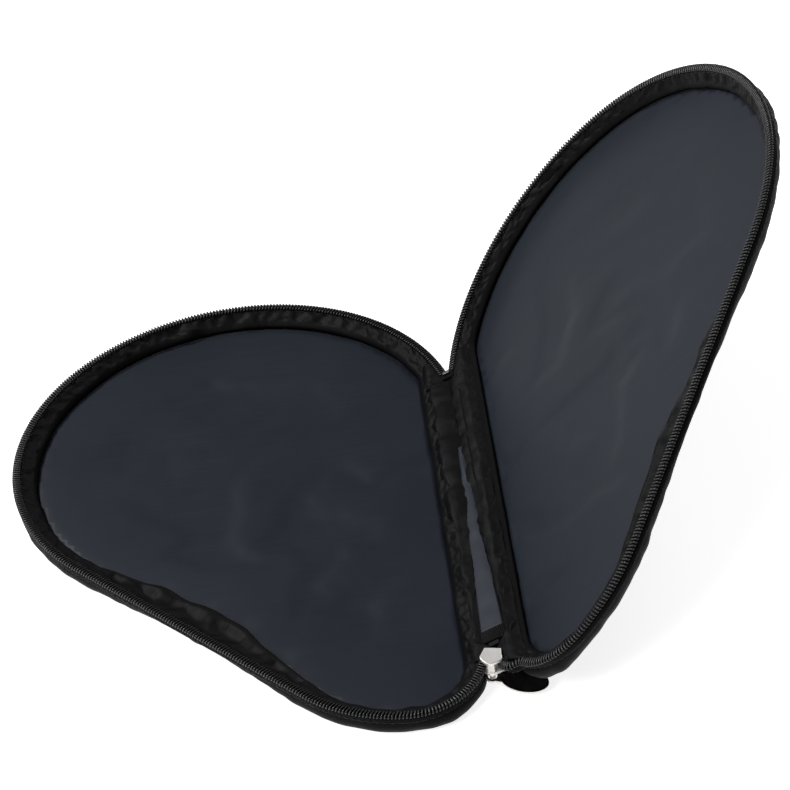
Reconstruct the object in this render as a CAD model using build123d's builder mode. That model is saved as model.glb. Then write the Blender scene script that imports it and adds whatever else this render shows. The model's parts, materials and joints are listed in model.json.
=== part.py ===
"""Soft zipped case for a table tennis bat, lying open.

The case is two padded shells, base and lid, sewn to a fabric spine along one straight side.
A coil zip runs round the other three sides. The base lies flat on its outer panel.

Frame: origin on the resting face, under the centre of the round blade pocket. +Z is up.
+X runs along the spine towards the handle end, and +Y points from the base to the lid.
Every lid piece is the mirror of a base piece in the seam plane, swung open about the spine.
"""

import os
from math import acos, asin, atan2, cos, degrees, hypot, radians, sin

from build123d import *

# ---------------------------------------------------------------- driving dimensions, mm
SEAM_Z = 13.0            # height of the plane where base and lid meet when closed
SPINE_Y = 98.0           # the fold axis runs along X at this y, in the seam plane
OPEN_ANGLE = 138.8       # how far the lid stands open from closed, degrees

BLADE_R = 100.0          # round end of the rim, centred on the origin
CORNER_X = 160.5         # small arc of the handle end, next to the spine
CORNER_Y = 62.0
CORNER_R = 31.5
HEEL_R = 68.0            # larger arc that carries the handle end into the flank
HEEL_JOIN = -10.0        # polar angle where the corner arc meets the heel arc, degrees

PANEL_INSET = 3.0        # outer panel edge, measured inwards from the rim
PANEL_WAIST = 5.0        # extra inset half-way along the flank
PANEL_T = 1.2
FOAM_TOP = 4.4
LINING_INSET = 9.5
LINING_WAIST = 6.0
LINING_T = 0.6
BINDING_W = 1.4
BINDING_H = 1.5
WALL_T = 1.1
WALL_TOP = 8.2
WALL_TOP_INSET = 0.2
BAND_T = 0.8             # satin band that covers the inside of the wall
BAND_FOOT_INSET = 7.0
BAND_TOP_INSET = 2.6
BAND_TOP = 10.2
TAPE_T = 0.6             # woven zip tape, standing on edge
TAPE_INSET = 1.6
TAPE_FOOT = 8.3
COIL_IN = 2.2            # the coil lies across the top of the tape
COIL_OUT = 1.0
COIL_H = 2.0
GAP = 0.1                # daylight between sewn layers, and half that between the two coils

ZIP_START = 110.0        # polar angle of the zip's end beside the spine, blade side
BASE_ZIP_END = 84.0      # polar angle about the corner centre, handle side
LID_ZIP_END = 50.0

SPINE_START = -20.0
SPINE_END = 150.0
SPINE_HALF = 5.5
SPINE_T = 1.2

SLIDER_ANGLE = 75.0      # parked slider, polar angle about the corner centre
SLIDER_OUT = 3.2         # slider centre line, outside the coil
SLIDER_L = 9.8
SLIDER_W = 9.0
SLIDER_REAR_W = 7.0
PLATE_T = 1.1
THROAT = 2.4             # each plate's distance from the seam plane
POST_L = 2.6             # nose post, along the travel
POST_W = 3.4
POST_BACK = 2.6          # post centre, behind the nose
LEG_R = 1.2              # front leg of the bridge, which the puller's eye hangs round
LEG_DROP = 3.9           # length of both legs below the lower plate
BAR_H = 1.2
EYE_DROP = 2.0           # eye centre below the lower plate
EYE_R = 2.9
EYE_HOLE = 1.95
PULL_L = 20.0
PULL_W = 11.0
PULL_T = 1.5
PULL_REACH = 13.2        # leg to the middle of the puller
PULL_DROP = 10.0         # slope of the parked puller, degrees
PULL_ROLL = 20.0         # the parked puller also leans about its own length
PULL_RIM = 0.9
INLAY_T = 0.3

os.makedirs("parts", exist_ok=True)

# ---------------------------------------------------------------- rim geometry
heel_centre = (
    CORNER_X + (CORNER_R - HEEL_R) * cos(radians(HEEL_JOIN)),
    CORNER_Y + (CORNER_R - HEEL_R) * sin(radians(HEEL_JOIN)),
)
# the straight flank touches the blade circle and the heel circle at this polar angle
FLANK_ANGLE = degrees(
    atan2(heel_centre[1], heel_centre[0])
    - acos((BLADE_R - HEEL_R) / hypot(heel_centre[0], heel_centre[1]))
)
flank_out = Vector(cos(radians(FLANK_ANGLE)), sin(radians(FLANK_ANGLE)))
flank_along = Vector(-flank_out.Y, flank_out.X)
spine_axis = Axis((0, SPINE_Y, SEAM_Z), (1, 0, 0))
seam_plane = Plane.XY.offset(SEAM_Z)


def rim_line(inset, start, end, waist=0.0):
    """The rim from the spine round the blade, flank, heel and corner, moved inwards by inset.

    start is a polar angle on the blade circle and end one on the corner circle. waist pulls
    the middle of the flank further in. Returns the two end points.
    """
    blade = CenterArc((0, 0), BLADE_R - inset, start, 360 + FLANK_ANGLE - start)
    heel = CenterArc(heel_centre, HEEL_R - inset, FLANK_ANGLE, HEEL_JOIN - FLANK_ANGLE)
    middle = (blade @ 1 + heel @ 0) * 0.5 - flank_out * waist
    if waist:
        Spline(blade @ 1, middle, heel @ 0, tangents=(flank_along, flank_along))
    else:
        Line(blade @ 1, heel @ 0)
    corner = CenterArc((CORNER_X, CORNER_Y), CORNER_R - inset, HEEL_JOIN, end - HEEL_JOIN)
    return blade @ 0, corner @ 1


def shell_outline(height, inset, waist, spine_inset, end):
    """Closed outline of one shell: the rim, closed by a straight side next to the spine."""
    side_y = SPINE_Y - spine_inset
    start = 180 - degrees(asin(side_y / (BLADE_R - inset)))
    with BuildSketch(Plane.XY.offset(height)) as outline:
        with BuildLine():
            first, last = rim_line(inset, start, end, waist)
            Line(last, first)
        make_face()
    return outline.sketch


def zip_strip(height, inner, outer, end):
    """Open strip along the zip, from the blade end of the spine to the polar angle end."""
    with BuildSketch(Plane.XY.offset(height)) as strip:
        with BuildLine():
            out_first, out_last = rim_line(outer, ZIP_START, end)
            in_first, in_last = rim_line(inner, ZIP_START, end)
            Line(out_first, in_first)
            Line(out_last, in_last)
        make_face()
    return strip.sketch


def ring(foot, foot_hole, top, top_hole):
    """A sloping hoop between two outlines, hollowed by the loft of two smaller ones."""
    with BuildPart() as hoop:
        add(foot)
        add(top)
        loft()
        add(foot_hole)
        add(top_hole)
        loft(mode=Mode.SUBTRACT)
    return hoop.part


# ---------------------------------------------------------------- one shell, built as the base


def outer_panel():
    """Padded nylon panel that the shell rests on."""
    with BuildPart() as panel:
        add(shell_outline(0, PANEL_INSET, PANEL_WAIST, 7.0, 80))
        extrude(amount=PANEL_T)
        fillet(panel.faces().sort_by(Axis.Z)[0].edges(), radius=0.5)
    return panel.part


def foam_pad():
    """Foam between the outer panel and the lining, with a softened upper edge."""
    with BuildPart() as pad:
        inset = PANEL_INSET + WALL_T + 0.5
        add(shell_outline(PANEL_T, inset, PANEL_WAIST, 8.6, 80))
        extrude(amount=FOAM_TOP - PANEL_T)
        fillet(pad.faces().sort_by(Axis.Z)[-1].edges(), radius=1.0)
    return pad.part


def lining():
    """Smooth cloth face of the pad."""
    with BuildPart() as sheet:
        add(shell_outline(FOAM_TOP, LINING_INSET, LINING_WAIST, 12.4, 85))
        extrude(amount=LINING_T)
    return sheet.part


def seam_binding():
    """Bound seam round the lining's edge."""
    outer = LINING_INSET - GAP - BINDING_W
    with BuildPart() as tape:
        add(shell_outline(FOAM_TOP, outer, LINING_WAIST, 11.2, 85))
        extrude(amount=BINDING_H)
        add(shell_outline(FOAM_TOP, outer + BINDING_W, LINING_WAIST, 12.3, 85))
        extrude(amount=BINDING_H, mode=Mode.SUBTRACT)
    return tape.part


def wall():
    """Outer gusset from the panel's edge up to the zip tape."""
    return ring(
        shell_outline(PANEL_T, PANEL_INSET, PANEL_WAIST, 7.0, 80),
        shell_outline(PANEL_T, PANEL_INSET + WALL_T, PANEL_WAIST, 7.0 + WALL_T, 80),
        shell_outline(WALL_TOP, WALL_TOP_INSET, 1.0, 6.5, 70),
        shell_outline(WALL_TOP, WALL_TOP_INSET + WALL_T, 1.0, 6.5 + WALL_T, 70),
    )


def wall_band():
    """Satin band on the inside, sloping from the bound seam up to the zip tape."""
    foot = FOAM_TOP + GAP
    return ring(
        shell_outline(foot, BAND_FOOT_INSET, LINING_WAIST, 10.2, 82),
        shell_outline(foot, BAND_FOOT_INSET + BAND_T, LINING_WAIST, 10.2 + BAND_T, 82),
        shell_outline(BAND_TOP, BAND_TOP_INSET, 1.0, 8.0, 75),
        shell_outline(BAND_TOP, BAND_TOP_INSET + BAND_T, 1.0, 8.0 + BAND_T, 75),
    )


def zip_tape(end):
    """Woven tape that carries one side of the zip."""
    top = SEAM_Z - GAP - COIL_H
    with BuildPart() as tape:
        add(zip_strip(TAPE_FOOT, TAPE_INSET + TAPE_T, TAPE_INSET, end))
        extrude(amount=top - TAPE_FOOT)
    return tape.part


def zip_coil(end):
    """One side of the zip's coil, just short of the seam plane."""
    with BuildPart() as coil:
        add(zip_strip(SEAM_Z - GAP - COIL_H, COIL_IN, -COIL_OUT, end))
        extrude(amount=COIL_H)
    return coil.part


def as_lid(piece):
    """Mirror a base piece in the seam plane and swing it open about the spine."""
    return mirror(piece, about=seam_plane, mode=Mode.PRIVATE).rotate(spine_axis, -OPEN_ANGLE)


base_pieces = {
    "outer_panel": outer_panel(),
    "foam_pad": foam_pad(),
    "lining": lining(),
    "seam_binding": seam_binding(),
    "wall": wall(),
    "wall_band": wall_band(),
    "zip_tape": zip_tape(BASE_ZIP_END),
    "zip_coil": zip_coil(BASE_ZIP_END),
}
lid_pieces = dict(base_pieces)
lid_pieces["zip_tape"] = zip_tape(LID_ZIP_END)
lid_pieces["zip_coil"] = zip_coil(LID_ZIP_END)

for name, piece in base_pieces.items():
    piece.label = f"base_{name}"
    export_step(piece, f"parts/base_{name}.step")

for name, piece in lid_pieces.items():
    lid_piece = as_lid(piece)
    lid_piece.label = f"lid_{name}"
    export_step(lid_piece, f"parts/lid_{name}.step")

# ---------------------------------------------------------------- spine, at half the fold
# Its plane is built through the fold axis: x along the spine, y across the strip. The plane
# stands upright when the case is closed, and turns half as far as the lid.
half_open = radians(OPEN_ANGLE / 2)
spine_plane = Plane(
    origin=(0, SPINE_Y, SEAM_Z),
    x_dir=(1, 0, 0),
    z_dir=(0, -cos(half_open), sin(half_open)),
)
spine_up = Axis(spine_plane.origin, spine_plane.z_dir)

# nylon strip that joins the two outer walls
with BuildPart() as spine_outer:
    with BuildSketch(spine_plane.offset(-0.4 - SPINE_T)):
        with Locations(((SPINE_START + SPINE_END) / 2, 0)):
            RectangleRounded(SPINE_END - SPINE_START, 2 * SPINE_HALF, 2.0)
    extrude(amount=SPINE_T)
spine_outer.part.label = "spine_outer"
export_step(spine_outer.part, "parts/spine_outer.step")

# lining strip, widest at the handle end and drawn to a point between the two walls
with BuildPart() as spine_lining:
    with BuildSketch(spine_plane.offset(-0.3)):
        with BuildLine():
            Polyline(
                (SPINE_END - 1, -SPINE_HALF + 0.5),
                (SPINE_END - 1, SPINE_HALF - 0.5),
                (SPINE_START + 50, 1.0),
                (SPINE_START + 50, -1.0),
                close=True,
            )
        make_face()
    extrude(amount=LINING_T)
spine_lining.part.label = "spine_lining"
export_step(spine_lining.part, "parts/spine_lining.step")

# ribbed tab sewn across the strip where the zip starts
with BuildPart() as spine_tab:
    with BuildSketch(spine_plane.offset(0.4)):
        with Locations((SPINE_END + 3.5, 0)):
            RectangleRounded(7.0, 2 * SPINE_HALF, 0.8)
    extrude(amount=1.3)
spine_tab.part.label = "spine_tab"
export_step(spine_tab.part, "parts/spine_tab.step")

# folded tape end that covers the closed end of the zip, blade side
with BuildPart() as tape_end:
    with BuildSketch(spine_plane.offset(-0.6)):
        with Locations((SPINE_START - 2.7, 0)):
            RectangleRounded(5.2, 6.0, 1.2)
    extrude(amount=1.2)
tape_end.part.label = "tape_end"
export_step(tape_end.part, "parts/tape_end.step")

# metal stop clamped over the closed end of the zip
with BuildPart() as top_stop:
    with BuildSketch(spine_plane.offset(0.7)):
        with Locations((SPINE_START - 3.2, 0)):
            RectangleRounded(1.8, 3.6, 0.5)
    extrude(amount=0.9)
    fillet(top_stop.faces().sort_by(spine_up)[-1].edges(), radius=0.3)
top_stop.part.label = "top_stop"
export_step(top_stop.part, "parts/top_stop.step")

# metal stop between the tab and the parked slider
with BuildPart() as bottom_stop:
    with BuildSketch(spine_plane.offset(-0.5)):
        with Locations((SPINE_END + 9.2, 0)):
            RectangleRounded(2.4, 5.0, 0.5)
    extrude(amount=1.6)
    fillet(bottom_stop.faces().sort_by(spine_up)[-1].edges(), radius=0.3)
bottom_stop.part.label = "bottom_stop"
export_step(bottom_stop.part, "parts/bottom_stop.step")

# ---------------------------------------------------------------- zip slider
# Built on a plane at the parked slider's centre: x is the way it travels, y points to the
# inside of the case, so the plane faces down.
park = radians(SLIDER_ANGLE)
outboard = Vector(cos(park), sin(park), 0)
travel = Vector(sin(park), -cos(park), 0)
slider_reach = CORNER_R + SLIDER_OUT
slider_origin = Vector(CORNER_X, CORNER_Y, SEAM_Z) + outboard * slider_reach
slider_plane = Plane(origin=slider_origin, x_dir=travel, z_dir=(0, 0, -1))
half_l = SLIDER_L / 2
half_w = SLIDER_W / 2
rear_w = SLIDER_REAR_W / 2


def shield(height, scale):
    """Plan of a slider plate: flat behind, widest at the middle, rounded to the nose."""
    with BuildSketch(slider_plane.offset(height)) as plan:
        with BuildLine():
            rear = Line((-half_l * scale, -rear_w * scale), (-half_l * scale, rear_w * scale))
            side = Line(rear @ 1, (-0.3, half_w * scale))
            nose = Spline(
                side @ 1,
                (half_l * 0.68 * scale, half_w * 0.62 * scale),
                (half_l * scale, 0),
                (half_l * 0.68 * scale, -half_w * 0.62 * scale),
                (-0.3, -half_w * scale),
                tangents=((0.9, 0.35), (-0.9, 0.35)),
            )
            Line(nose @ 1, rear @ 0)
        make_face()
    return plan.sketch


with BuildPart() as slider_body:
    # plate inside the case, facing up while the case lies open
    add(shield(-THROAT - PLATE_T, 1.0))
    extrude(amount=PLATE_T, dir=slider_plane.z_dir)
    fillet(slider_body.faces().sort_by(Axis.Z)[-1].edges(), radius=0.35)
    # plate outside the case
    add(shield(THROAT, 0.94))
    extrude(amount=PLATE_T, dir=slider_plane.z_dir)
    # nose post between the two plates
    with BuildSketch(slider_plane.offset(-THROAT - 0.2)):
        with Locations((half_l - POST_BACK, 0)):
            RectangleRounded(POST_L, POST_W, 0.7)
    extrude(amount=2 * THROAT + 0.4)
    # round front leg of the bridge, on the same line as the post
    with BuildSketch(slider_plane.offset(THROAT)):
        with Locations((half_l - POST_BACK, 0)):
            Circle(LEG_R)
    extrude(amount=PLATE_T + LEG_DROP)
    # rear leg, and the bar that joins the two feet
    with BuildSketch(slider_plane.offset(THROAT)):
        with Locations((-half_l + 2.2, 0)):
            RectangleRounded(1.6, 2.4, 0.4)
    extrude(amount=PLATE_T + LEG_DROP)
    with BuildSketch(slider_plane.offset(THROAT + PLATE_T + LEG_DROP - BAR_H)):
        with Locations((0, 0)):
            RectangleRounded(SLIDER_L - 3.0, 2.0, 0.9)
    extrude(amount=BAR_H)
slider_body.part.label = "slider_body"
export_step(slider_body.part, "parts/slider_body.step")

# ---------------------------------------------------------------- puller
# Flat puller on its own plane: x runs from the eye, round the front leg, to the tip.
eye_z = SEAM_Z - THROAT - PLATE_T - EYE_DROP
drop = radians(PULL_DROP)
roll = radians(PULL_ROLL)
pull_dir = outboard * cos(drop) - Vector(0, 0, sin(drop))
flat_normal = outboard * sin(drop) + Vector(0, 0, cos(drop))
pull_normal = flat_normal * cos(roll) + travel * sin(roll)
leg_foot = slider_origin + travel * (half_l - POST_BACK)
pull_plane = Plane(origin=(leg_foot.X, leg_foot.Y, eye_z), x_dir=pull_dir, z_dir=pull_normal)

with BuildPart() as pull_frame:
    with BuildSketch(pull_plane.offset(-PULL_T / 2)):
        with Locations((PULL_REACH, 0)):
            Ellipse(PULL_L / 2, PULL_W / 2)
        Circle(EYE_R)
        with Locations((EYE_R, 0)):
            Rectangle(EYE_R, 5.0)
        Circle(EYE_HOLE, mode=Mode.SUBTRACT)
    extrude(amount=PULL_T)
    # shallow seats for the enamel on both faces
    for seat in (PULL_T / 2 - INLAY_T, -PULL_T / 2):
        with BuildSketch(pull_plane.offset(seat)):
            with Locations((PULL_REACH, 0)):
                Ellipse(PULL_L / 2 - PULL_RIM, PULL_W / 2 - PULL_RIM)
        extrude(amount=INLAY_T, mode=Mode.SUBTRACT)
pull_frame.part.label = "pull_frame"
export_step(pull_frame.part, "parts/pull_frame.step")

# glossy enamel in each seat
for label, seat in (
    ("pull_inlay_front", PULL_T / 2 - INLAY_T),
    ("pull_inlay_back", -PULL_T / 2),
):
    with BuildPart() as inlay:
        with BuildSketch(pull_plane.offset(seat)):
            with Locations((PULL_REACH, 0)):
                Ellipse(PULL_L / 2 - PULL_RIM - 0.05, PULL_W / 2 - PULL_RIM - 0.05)
        extrude(amount=INLAY_T)
    inlay.part.label = label
    export_step(inlay.part, f"parts/{label}.step")
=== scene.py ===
"""Looks of a soft zipped case for a table tennis bat, lying open on a pale floor.

Both shells are drawn once, as the base, from closed outlines that follow the rim. The lid is
the same set of pieces with other wrinkles, mirrored in the seam plane and swung open about the
spine. Lengths are in millimetres until a mesh is made, which turns them into metres.
"""

import json

from math import acos, asin, atan2, cos, degrees, exp, pi, radians, sin

import bmesh
import bpy
import numpy as np
from mathutils import Matrix, Vector, geometry


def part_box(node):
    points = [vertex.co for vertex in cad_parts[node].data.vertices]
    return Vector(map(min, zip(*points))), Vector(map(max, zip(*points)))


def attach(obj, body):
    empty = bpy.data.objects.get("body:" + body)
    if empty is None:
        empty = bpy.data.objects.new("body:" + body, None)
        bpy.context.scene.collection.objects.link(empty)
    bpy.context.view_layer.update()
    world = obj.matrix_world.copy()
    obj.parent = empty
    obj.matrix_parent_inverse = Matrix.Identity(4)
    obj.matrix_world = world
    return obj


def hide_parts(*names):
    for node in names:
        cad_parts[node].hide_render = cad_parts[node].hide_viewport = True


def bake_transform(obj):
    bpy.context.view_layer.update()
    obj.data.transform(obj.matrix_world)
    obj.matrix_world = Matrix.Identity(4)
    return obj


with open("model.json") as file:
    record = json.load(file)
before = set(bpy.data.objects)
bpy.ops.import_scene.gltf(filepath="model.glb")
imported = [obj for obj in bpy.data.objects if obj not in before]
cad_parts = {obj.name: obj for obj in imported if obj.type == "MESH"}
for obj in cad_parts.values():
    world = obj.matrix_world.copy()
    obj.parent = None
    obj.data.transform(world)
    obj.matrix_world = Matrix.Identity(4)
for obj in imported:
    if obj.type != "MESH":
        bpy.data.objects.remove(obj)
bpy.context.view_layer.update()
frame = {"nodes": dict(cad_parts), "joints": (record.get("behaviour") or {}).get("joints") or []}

# -------- dimensions from the frame
MM = 0.001
joints = {joint["name"]: joint for joint in frame["joints"]}


def box_mm(node):
    """Lowest and highest corner of a CAD node, in millimetres."""
    low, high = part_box(node)
    return Vector(low) / MM, Vector(high) / MM


fold = Vector(joints["lid_fold"]["pos_m"]) / MM
SPINE_Y = fold.y
SEAM_Z = fold.z
OPEN = radians(joints["lid_fold"]["range_deg"][1])
corner_centre = Vector(joints["slider_travel"]["pos_m"]).xy / MM

COIL_OUT = 1.0                      # the coil's outer edge, outside the rim line
coil_low, coil_high = box_mm("base_zip_coil")
BLADE_R = -coil_low.x - COIL_OUT
CORNER_R = coil_high.x - COIL_OUT - corner_centre.x
HEEL_R = 68.0
HEEL_JOIN = -10.0                   # polar angle where the corner arc meets the heel arc
PANEL_Z = box_mm("base_outer_panel")[1].z
LINING_Z = box_mm("base_lining")[1].z
WALL_Z = box_mm("base_wall")[1].z
COIL_Z = (coil_low.z + coil_high.z) / 2

heel_centre = corner_centre + (CORNER_R - HEEL_R) * Vector(
    (cos(radians(HEEL_JOIN)), sin(radians(HEEL_JOIN)))
)
FLANK = degrees(
    atan2(heel_centre.y, heel_centre.x) - acos((BLADE_R - HEEL_R) / heel_centre.length)
)
flank_out = np.array((cos(radians(FLANK)), sin(radians(FLANK))))

SPINE_START = box_mm("spine_outer")[0].x
SPINE_END = box_mm("spine_outer")[1].x
TAB_END = box_mm("spine_tab")[1].x
SLIDER_START = box_mm("slider_body")[0].x
SLIDER_END = box_mm("slider_body")[1].x
HALF_OPEN = OPEN / 2
across = Vector((0, sin(HALF_OPEN), cos(HALF_OPEN)))       # across the spine strip, to the lid
spine_up = Vector((0, -cos(HALF_OPEN), sin(HALF_OPEN)))    # out of the strip's inner face

ZIP_START = 104.3                   # polar angle on the blade where the zip begins
STEP = 2.0                          # spacing of the columns round a loop
ROUNDING = 6                        # smoothing passes that soften the outline's corners
STITCH = 2.6                        # stitch length
STITCH_GAP = 0.7
COIL_PITCH = 1.5
WIRE_R = 0.46
COIL_HALF_WIDTH = 2.1
COIL_HALF_HEIGHT = 1.0
COIL_MIDDLE = -0.8                  # the coil's middle line, outside the rim line
BAND_ROWS = 13                      # rows of the satin band, from lining to tape
BINDING_ROWS = 6                    # of which the binding covers these
BINDING_LIFT = 0.45
PANEL_LIFT = {"base": 0.45, "lid": 2.6}     # how far the padded panel swells
PANEL_FADE = 9.0                    # distance from its seam over which it does
LEAN = {"base": 0.0, "lid": 5.0}    # how far the flank's wall leans in at the panel
LID_SLIM = 1.6                      # how much narrower the satin band is in the lid
SPINE_HALF = 5.5                    # half width of the spine's back and tab
RIB_PITCH = 0.92                    # ribs of the webbing tab
STRIP_HALF = 5.4                    # reach of the grey strip's edge, at its wide end
STRIP_POINT = 45.0                  # where the strip starts to show between the satin rolls
STRIP_LENGTH = 97.0                 # and how far it takes to reach its full width
VALLEY = -0.25                      # lift of the crease where the strip has run out
GATHER_X = 169.0                    # the strip side of the hinge cloth bunches up beyond this
STRIP_ACROSS = 5.2                  # and with the spine strip short of this
SIM_SCALE = 10.0                    # cloth solves better on a larger copy
# The lid's half of the zip comes down into the slider's throat through these points.
SLIDER_FEED = (
    (SLIDER_END + 4.0, SPINE_Y + 3.6, SEAM_Z + 3.4),
    (SLIDER_END - 0.5, SPINE_Y + 1.2, SEAM_Z + 0.9),
    (SLIDER_END - 4.5, SPINE_Y + 0.2, SEAM_Z + 0.7),
)

# -------- node materials


class Shader:
    """A procedural material, built node by node on one Principled shader."""

    def __init__(self, name, color, roughness, **inputs):
        self.material = bpy.data.materials.new(name)
        self.material.use_nodes = True
        self.tree = self.material.node_tree
        self.surface = self.tree.nodes["Principled BSDF"]
        self.color = color
        self.surface.inputs["Base Color"].default_value = (*color, 1)
        self.surface.inputs["Roughness"].default_value = roughness
        for key, value in inputs.items():
            self.surface.inputs[key.replace("_", " ")].default_value = value

    def link(self, source, target):
        self.tree.links.new(source, target)

    def node(self, kind, **settings):
        made = self.tree.nodes.new(kind)
        for key, value in settings.items():
            setattr(made, key, value)
        return made

    def math(self, operation, first, second=0.0, third=0.0):
        made = self.node("ShaderNodeMath", operation=operation)
        for index, value in enumerate((first, second, third)):
            if isinstance(value, (int, float)):
                made.inputs[index].default_value = value
            else:
                self.link(value, made.inputs[index])
        return made.outputs[0]

    def cloth_map(self):
        return self.node("ShaderNodeUVMap", uv_map="cloth").outputs[0]

    def object_map(self):
        return self.node("ShaderNodeTexCoord").outputs["Object"]

    def cloth_uv(self):
        """The two thread directions of a sheet, in millimetres."""
        split = self.node("ShaderNodeSeparateXYZ")
        self.link(self.cloth_map(), split.inputs[0])
        return split.outputs[0], split.outputs[1]

    def wave(self, value, pitch, phase=0.0):
        return self.math("SINE", self.math("MULTIPLY_ADD", value, 2 * pi / pitch, phase))

    def noise(self, scale, detail, stretch=(1, 1, 1), cloth=False, roughness=0.5):
        """Noise over the sheet in millimetres, or over the object in metres."""
        mapping = self.node("ShaderNodeMapping")
        mapping.inputs["Scale"].default_value = stretch
        self.link(self.cloth_map() if cloth else self.object_map(), mapping.inputs[0])
        made = self.node("ShaderNodeTexNoise")
        made.inputs["Scale"].default_value = scale
        made.inputs["Detail"].default_value = detail
        made.inputs["Roughness"].default_value = roughness
        self.link(mapping.outputs[0], made.inputs["Vector"])
        return made.outputs["Fac"]

    def remap(self, value, low, high):
        made = self.node("ShaderNodeMapRange")
        made.inputs["To Min"].default_value = low
        made.inputs["To Max"].default_value = high
        self.link(value, made.inputs["Value"])
        return made.outputs[0]

    def tint(self, value, low, high):
        """Scale the base colour by a factor that runs from low to high."""
        made = self.node("ShaderNodeMix", data_type="RGBA", blend_type="MULTIPLY")
        made.inputs[0].default_value = 1.0
        made.inputs[6].default_value = (*self.color, 1)
        factor = self.remap(value, low, high)
        combine = self.node("ShaderNodeCombineColor")
        for channel in combine.inputs:
            self.link(factor, channel)
        self.link(combine.outputs[0], made.inputs[7])
        self.link(made.outputs[2], self.surface.inputs["Base Color"])

    def rough(self, value, low, high):
        self.link(self.remap(value, low, high), self.surface.inputs["Roughness"])

    def bump(self, *layers):
        """Stack bump layers, each a height value with its depth in metres."""
        previous = None
        for height, depth in layers:
            made = self.node("ShaderNodeBump")
            made.inputs["Strength"].default_value = 1.0
            made.inputs["Distance"].default_value = depth
            self.link(height, made.inputs["Height"])
            if previous:
                self.link(previous, made.inputs["Normal"])
            previous = made.outputs[0]
        self.link(previous, self.surface.inputs["Normal"])

    def scuffs(self, low, high):
        """Uneven film and fine scuffs in the roughness and the surface. Returns the film."""
        film = self.noise(180, 5.0)
        scuff = self.noise(900, 6.0, (1, 9, 1), roughness=0.7)
        self.rough(self.math("MULTIPLY_ADD", scuff, 0.4, self.math("MULTIPLY", film, 0.6)),
                   low, high)
        self.bump((film, 0.00006), (scuff, 0.000012))
        return film


def woven_nylon():
    """Black pack cloth: plain weave, dry sheen, a little lint and rub."""
    cloth = Shader("nylon", (0.0018, 0.0018, 0.0026), 0.6, Sheen_Weight=0.01,
                   Sheen_Roughness=0.4, Specular_IOR_Level=0.08)
    u, v = cloth.cloth_uv()
    weave = cloth.math("MULTIPLY", cloth.wave(u, 0.7), cloth.wave(v, 0.7))
    slub = cloth.noise(0.35, 4.0, cloth=True)
    rub = cloth.noise(0.04, 5.0, cloth=True)
    cloth.tint(cloth.math("ADD", cloth.math("MULTIPLY", weave, 0.25), rub), 0.55, 1.6)
    cloth.rough(rub, 0.48, 0.72)
    cloth.bump((slub, 0.00012), (weave, 0.00007))
    return cloth.material


def brushed_lining(name, color):
    """Smooth slate lining: faint streaks along the warp, soft sheen and handling marks."""
    cloth = Shader(name, color, 0.5, Sheen_Weight=0.03, Sheen_Roughness=0.35,
                   Specular_IOR_Level=0.14)
    streak = cloth.noise(0.9, 3.0, (1, 0.03, 1), cloth=True)
    cloudy = cloth.noise(0.018, 4.0, cloth=True)
    cloth.tint(cloth.math("MULTIPLY_ADD", streak, 0.5, cloth.math("MULTIPLY", cloudy, 0.5)),
               0.62, 1.4)
    cloth.rough(cloudy, 0.4, 0.6)
    cloth.bump((cloudy, 0.0004), (streak, 0.00005))
    return cloth.material


def gathered_satin():
    """Shiny black satin: long floats along one thread direction."""
    cloth = Shader("satin", (0.0012, 0.0012, 0.0018), 0.38, Specular_IOR_Level=0.1,
                   Anisotropic=0.3)
    u, v = cloth.cloth_uv()
    floats = cloth.wave(v, 0.5)
    crease = cloth.noise(0.5, 4.0, (1, 0.45, 1), cloth=True, roughness=0.6)
    cloth.tint(crease, 0.6, 1.5)
    cloth.rough(crease, 0.5, 0.66)
    cloth.bump((crease, 0.00025), (floats, 0.000004))
    return cloth.material


def ribbed_tape(name, color):
    """Twill tape with ribs across its length."""
    cloth = Shader(name, color, 0.62, Sheen_Weight=0.01, Specular_IOR_Level=0.09)
    u, v = cloth.cloth_uv()
    ribs = cloth.wave(u, 0.8)
    twill = cloth.wave(cloth.math("ADD", u, v), 0.6)
    lint = cloth.noise(0.6, 5.0, cloth=True)
    cloth.tint(cloth.math("MULTIPLY_ADD", twill, 0.2, lint), 0.6, 1.5)
    cloth.rough(lint, 0.5, 0.75)
    cloth.bump((ribs, 0.00008), (twill, 0.00005))
    return cloth.material


def coil_nylon():
    """Moulded zip coil, polished where the slider has run over it."""
    coil = Shader("coil", (0.005, 0.005, 0.006), 0.3, Specular_IOR_Level=0.48)
    grain = coil.noise(900, 3.0)
    coil.tint(grain, 0.7, 1.4)
    coil.rough(coil.noise(60, 4.0), 0.26, 0.44)
    coil.bump((grain, 0.00003))
    return coil.material


def sewing_thread():
    """Twisted polyester thread."""
    thread = Shader("thread", (0.006, 0.006, 0.007), 0.5, Sheen_Weight=0.05,
                    Specular_IOR_Level=0.25)
    u, v = thread.cloth_uv()
    twist = thread.wave(thread.math("ADD", u, v), 0.45)
    thread.tint(twist, 0.7, 1.5)
    thread.rough(twist, 0.4, 0.6)
    thread.bump((twist, 0.00004))
    return thread.material


def plated_metal(name, color, low, high, metallic=1.0):
    """Die-cast metal under thin plating, with fine scuffs and a duller film."""
    metal = Shader(name, color, 0.25, Metallic=metallic)
    metal.tint(metal.scuffs(low, high), 0.82, 1.1)
    return metal.material


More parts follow.
